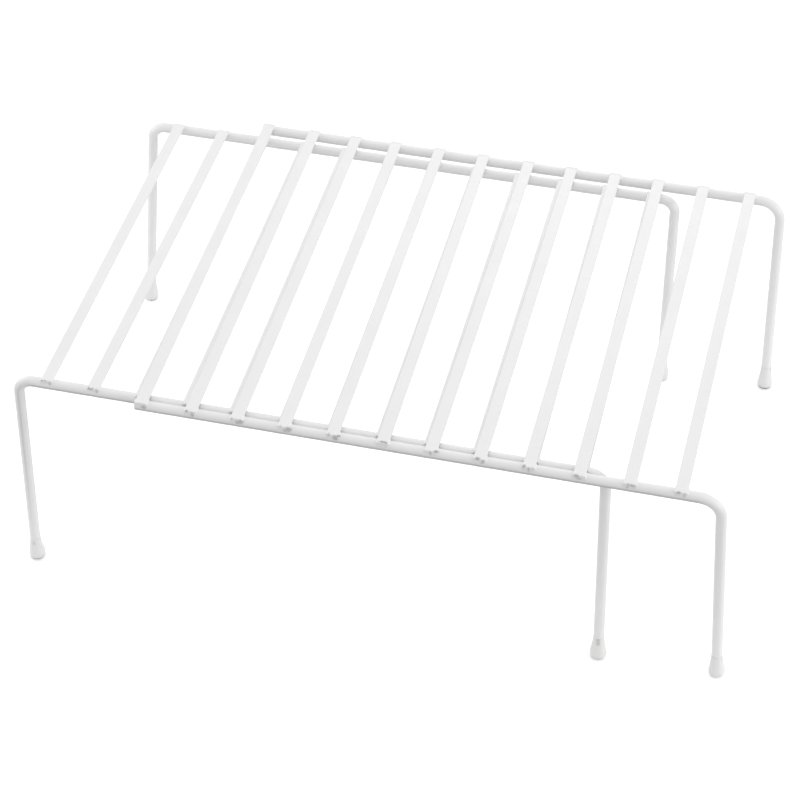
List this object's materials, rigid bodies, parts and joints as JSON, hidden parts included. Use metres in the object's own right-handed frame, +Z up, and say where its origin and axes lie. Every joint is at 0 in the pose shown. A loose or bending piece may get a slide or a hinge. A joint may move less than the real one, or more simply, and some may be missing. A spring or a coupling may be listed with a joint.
{
  "type": "tiered shelf riser",
  "caption": "Expandable wire shelf riser: two nested frames of flat slats on bent round wires, the upper frame sliding out sideways, on capped legs.",
  "frame": {"origin": "on the floor, under the middle of the riser's box as it stands, pulled out by two slat pitches", "axes": "+X along the rails, the way the extension slides out; +Y from the front rails to the rear rails; +Z up"},
  "size_m": [0.3943, 0.2493, 0.1371],
  "materials": {
    "coated_wire": "white vinyl coating over round steel wire, satin",
    "coated_slat": "white vinyl coating over flat steel strip, satin",
    "foot_vinyl": "soft white moulded vinyl"
  },
  "bodies": {
    "base": {"base_front_wire": "coated_wire", "base_rear_wire": "coated_wire", "base_slat_01": "coated_slat", "base_slat_02": "coated_slat", "base_slat_03": "coated_slat", "base_slat_04": "coated_slat", "base_slat_05": "coated_slat", "base_slat_06": "coated_slat", "base_slat_07": "coated_slat", "base_slat_08": "coated_slat", "base_slat_09": "coated_slat", "base_slat_10": "coated_slat", "base_slat_11": "coated_slat", "base_slat_12": "coated_slat", "base_foot_cap_front_left": "foot_vinyl", "base_foot_cap_rear_left": "foot_vinyl", "base_foot_cap_front_right": "foot_vinyl", "base_foot_cap_rear_right": "foot_vinyl"},
    "extension": {"extension_front_wire": "coated_wire", "extension_rear_wire": "coated_wire", "extension_slat_01": "coated_slat", "extension_slat_02": "coated_slat", "extension_slat_03": "coated_slat", "extension_slat_04": "coated_slat", "extension_slat_05": "coated_slat", "extension_slat_06": "coated_slat", "extension_slat_07": "coated_slat", "extension_slat_08": "coated_slat", "extension_slat_09": "coated_slat", "extension_slat_10": "coated_slat", "extension_slat_11": "coated_slat", "extension_slat_12": "coated_slat", "extension_foot_cap_front": "foot_vinyl", "extension_foot_cap_rear": "foot_vinyl"}
  },
  "joints": [
    {"name": "extension_slide", "type": "slide", "parent": "base", "child": "extension", "axis": [1, 0, 0], "range_m": [-0.0523, 0.2032]}
  ]
}
